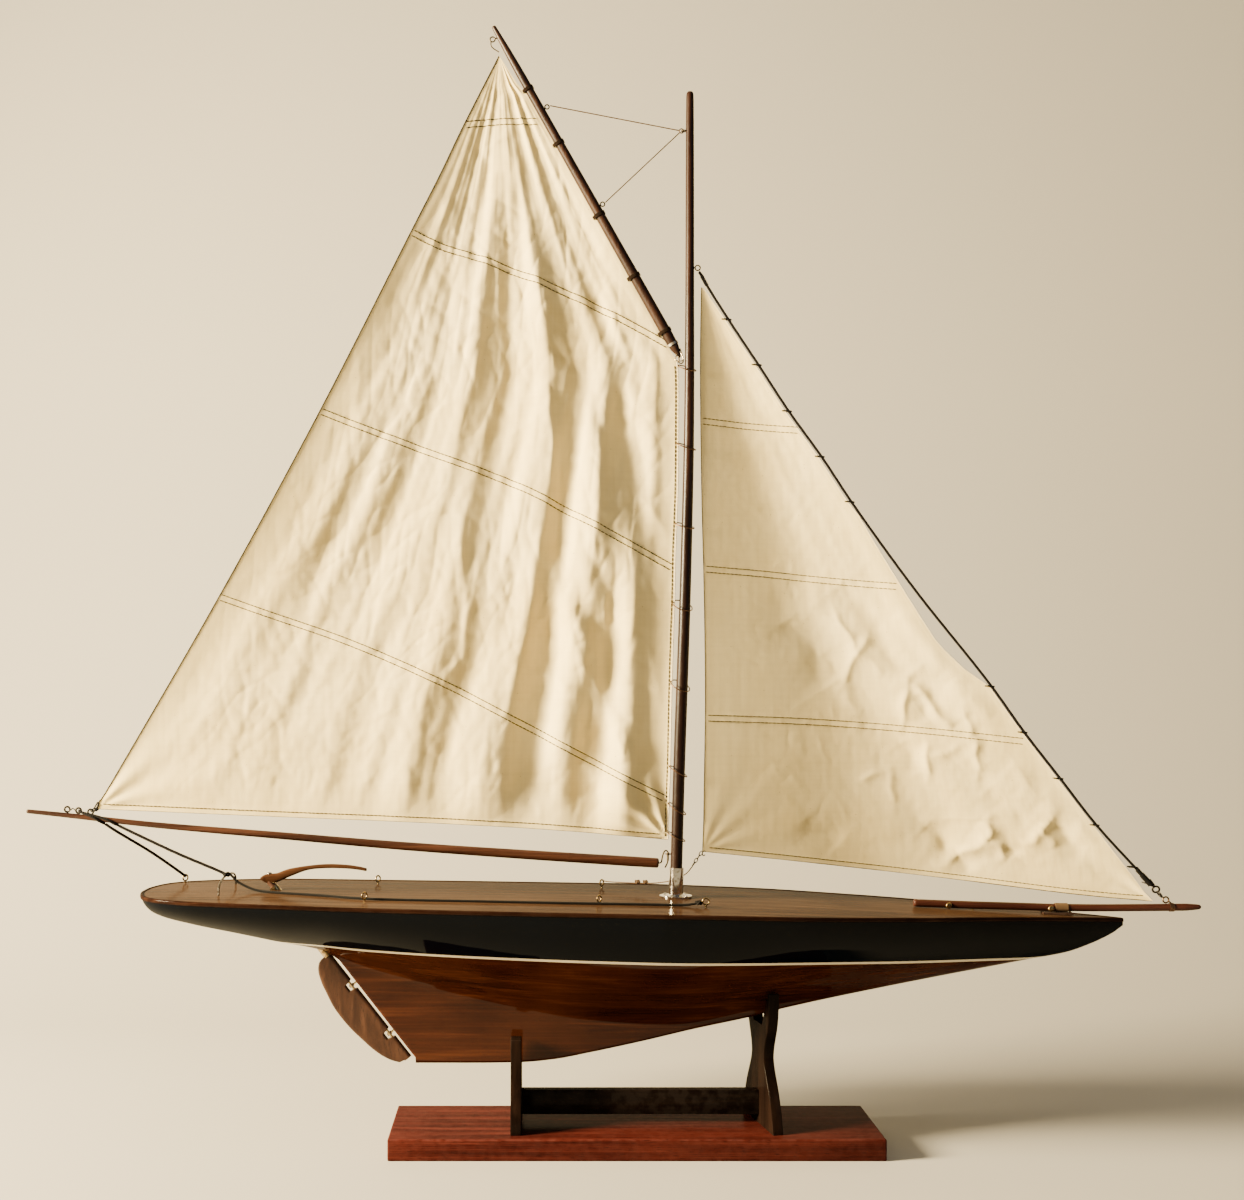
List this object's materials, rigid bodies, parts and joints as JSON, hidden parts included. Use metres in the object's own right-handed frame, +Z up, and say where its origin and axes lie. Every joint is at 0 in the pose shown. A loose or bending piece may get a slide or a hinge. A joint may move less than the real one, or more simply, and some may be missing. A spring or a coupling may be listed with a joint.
{
  "type": "model pond yacht",
  "caption": "Gaff-rigged model sailing yacht with painted wooden hull, cotton mainsail and jib, tiller and hung rudder, on a two-upright cradle stand.",
  "frame": {"origin": "centre of the underside of the base plank", "axes": "+X towards the bow, +Y to port, +Z up; the hull sits on the cradle pitched 1.4 degrees down by the bow"},
  "size_m": [1.1, 0.2122, 1.0465],
  "materials": {
    "base_mahogany": "satin stained mahogany with open grain",
    "dark_stain": "dark stained hardwood, semi gloss",
    "hull_mahogany": "gloss varnished mahogany",
    "topside_paint": "deep green-black gloss enamel over wood",
    "stripe_paint": "ivory gloss enamel line",
    "deck_wood": "varnished mahogany deck",
    "edge_wood": "red-brown varnished covering board",
    "pale_wood": "plain inside timber",
    "spar_wood": "varnished red-brown spar",
    "blade_wood": "worn brown varnish",
    "tiller_wood": "light varnished hardwood",
    "chrome_fitting": "polished tube and flange",
    "steel_wire": "dull steel wire",
    "aged_brass": "aged brass wire",
    "black_cord": "black braided cord",
    "brown_cord": "brown twine",
    "sailcloth": "unbleached cotton sailcloth",
    "ballast_lead": "dull grey ballast metal",
    "black_metal": "black ferrule"
  },
  "bodies": {
    "stand": {"base_plank": "base_mahogany", "stand_upright_aft": "dark_stain", "stand_upright_fwd": "dark_stain", "stand_rail": "dark_stain", "stand_screws": "steel_wire"},
    "hull": {"hull_bottom": "hull_mahogany", "boot_stripe": "stripe_paint", "hull_topsides": "topside_paint", "bow_block": "topside_paint", "stern_block": "topside_paint", "deck": "deck_wood", "covering_boards": "edge_wood", "deck_beams": "pale_wood", "mast_block": "pale_wood", "ballast_bar": "ballast_lead", "ballast_bolts": "aged_brass", "rudder_tube": "aged_brass", "rudder_gudgeons": "aged_brass", "mast_socket": "chrome_fitting", "socket_screws": "chrome_fitting", "mast": "spar_wood", "mast_eyes": "aged_brass", "mast_hoops": "aged_brass", "bowsprit": "spar_wood", "bowsprit_strap": "brown_cord", "bowsprit_chock": "spar_wood", "bowsprit_screws": "steel_wire", "bowsprit_ring": "steel_wire", "forestay_link": "steel_wire", "deck_eyes": "aged_brass", "sheet_horse": "aged_brass", "mainsheet_fall": "black_cord", "mainsheet_tail": "black_cord", "jib_sheet": "brown_cord"},
    "rudder": {"rudder_blade": "blade_wood", "rudder_stock": "blade_wood", "rudder_pintles": "aged_brass", "tiller": "tiller_wood", "tiller_screw": "steel_wire"},
    "boom": {"boom": "spar_wood", "boom_hook": "aged_brass", "boom_eyes": "steel_wire", "sheet_hook": "steel_wire", "clew_outhaul": "brown_cord", "mainsail": "sailcloth"},
    "gaff": {"gaff": "spar_wood", "gaff_ferrule": "black_metal", "gaff_eyes": "aged_brass", "gaff_bridle": "brown_cord", "peak_link": "steel_wire", "gaff_bands": "brown_cord"},
    "jib": {"forestay": "black_cord", "jib_sail": "sailcloth", "jib_hanks": "steel_wire", "jib_clew_hook": "steel_wire", "jib_tack_line": "brown_cord"}
  },
  "joints": [
    {"name": "hull_lift", "type": "slide", "parent": "stand", "child": "hull", "axis": [0, 0, 1], "range_m": [0, 0.12]},
    {"name": "rudder_swing", "type": "hinge", "parent": "hull", "child": "rudder", "pos_m": [-0.3364, 0, 0.2396], "axis": [-0.6195, 0, 0.785], "range_deg": [-32, 32]},
    {"name": "boom_swing", "type": "hinge", "parent": "hull", "child": "boom", "pos_m": [0.0326, 0, 0.2705], "axis": [0.0219, 0, 0.9998], "range_deg": [-50, 50], "deforming": ["mainsheet_fall"]},
    {"name": "gaff_swing", "type": "hinge", "parent": "hull", "child": "gaff", "pos_m": [0.0474, 0, 0.9476], "axis": [0.0219, 0, 0.9998], "range_deg": [-50, 50]},
    {"name": "jib_swing", "type": "hinge", "parent": "hull", "child": "jib", "pos_m": [0.4985, 0, 0.2253], "axis": [-0.5948, 0, 0.8039], "range_deg": [-30, 30], "deforming": ["jib_sheet"]}
  ],
  "couplings": [
    {"joint": "gaff_swing", "follows": "boom_swing", "ratio": 1}
  ]
}
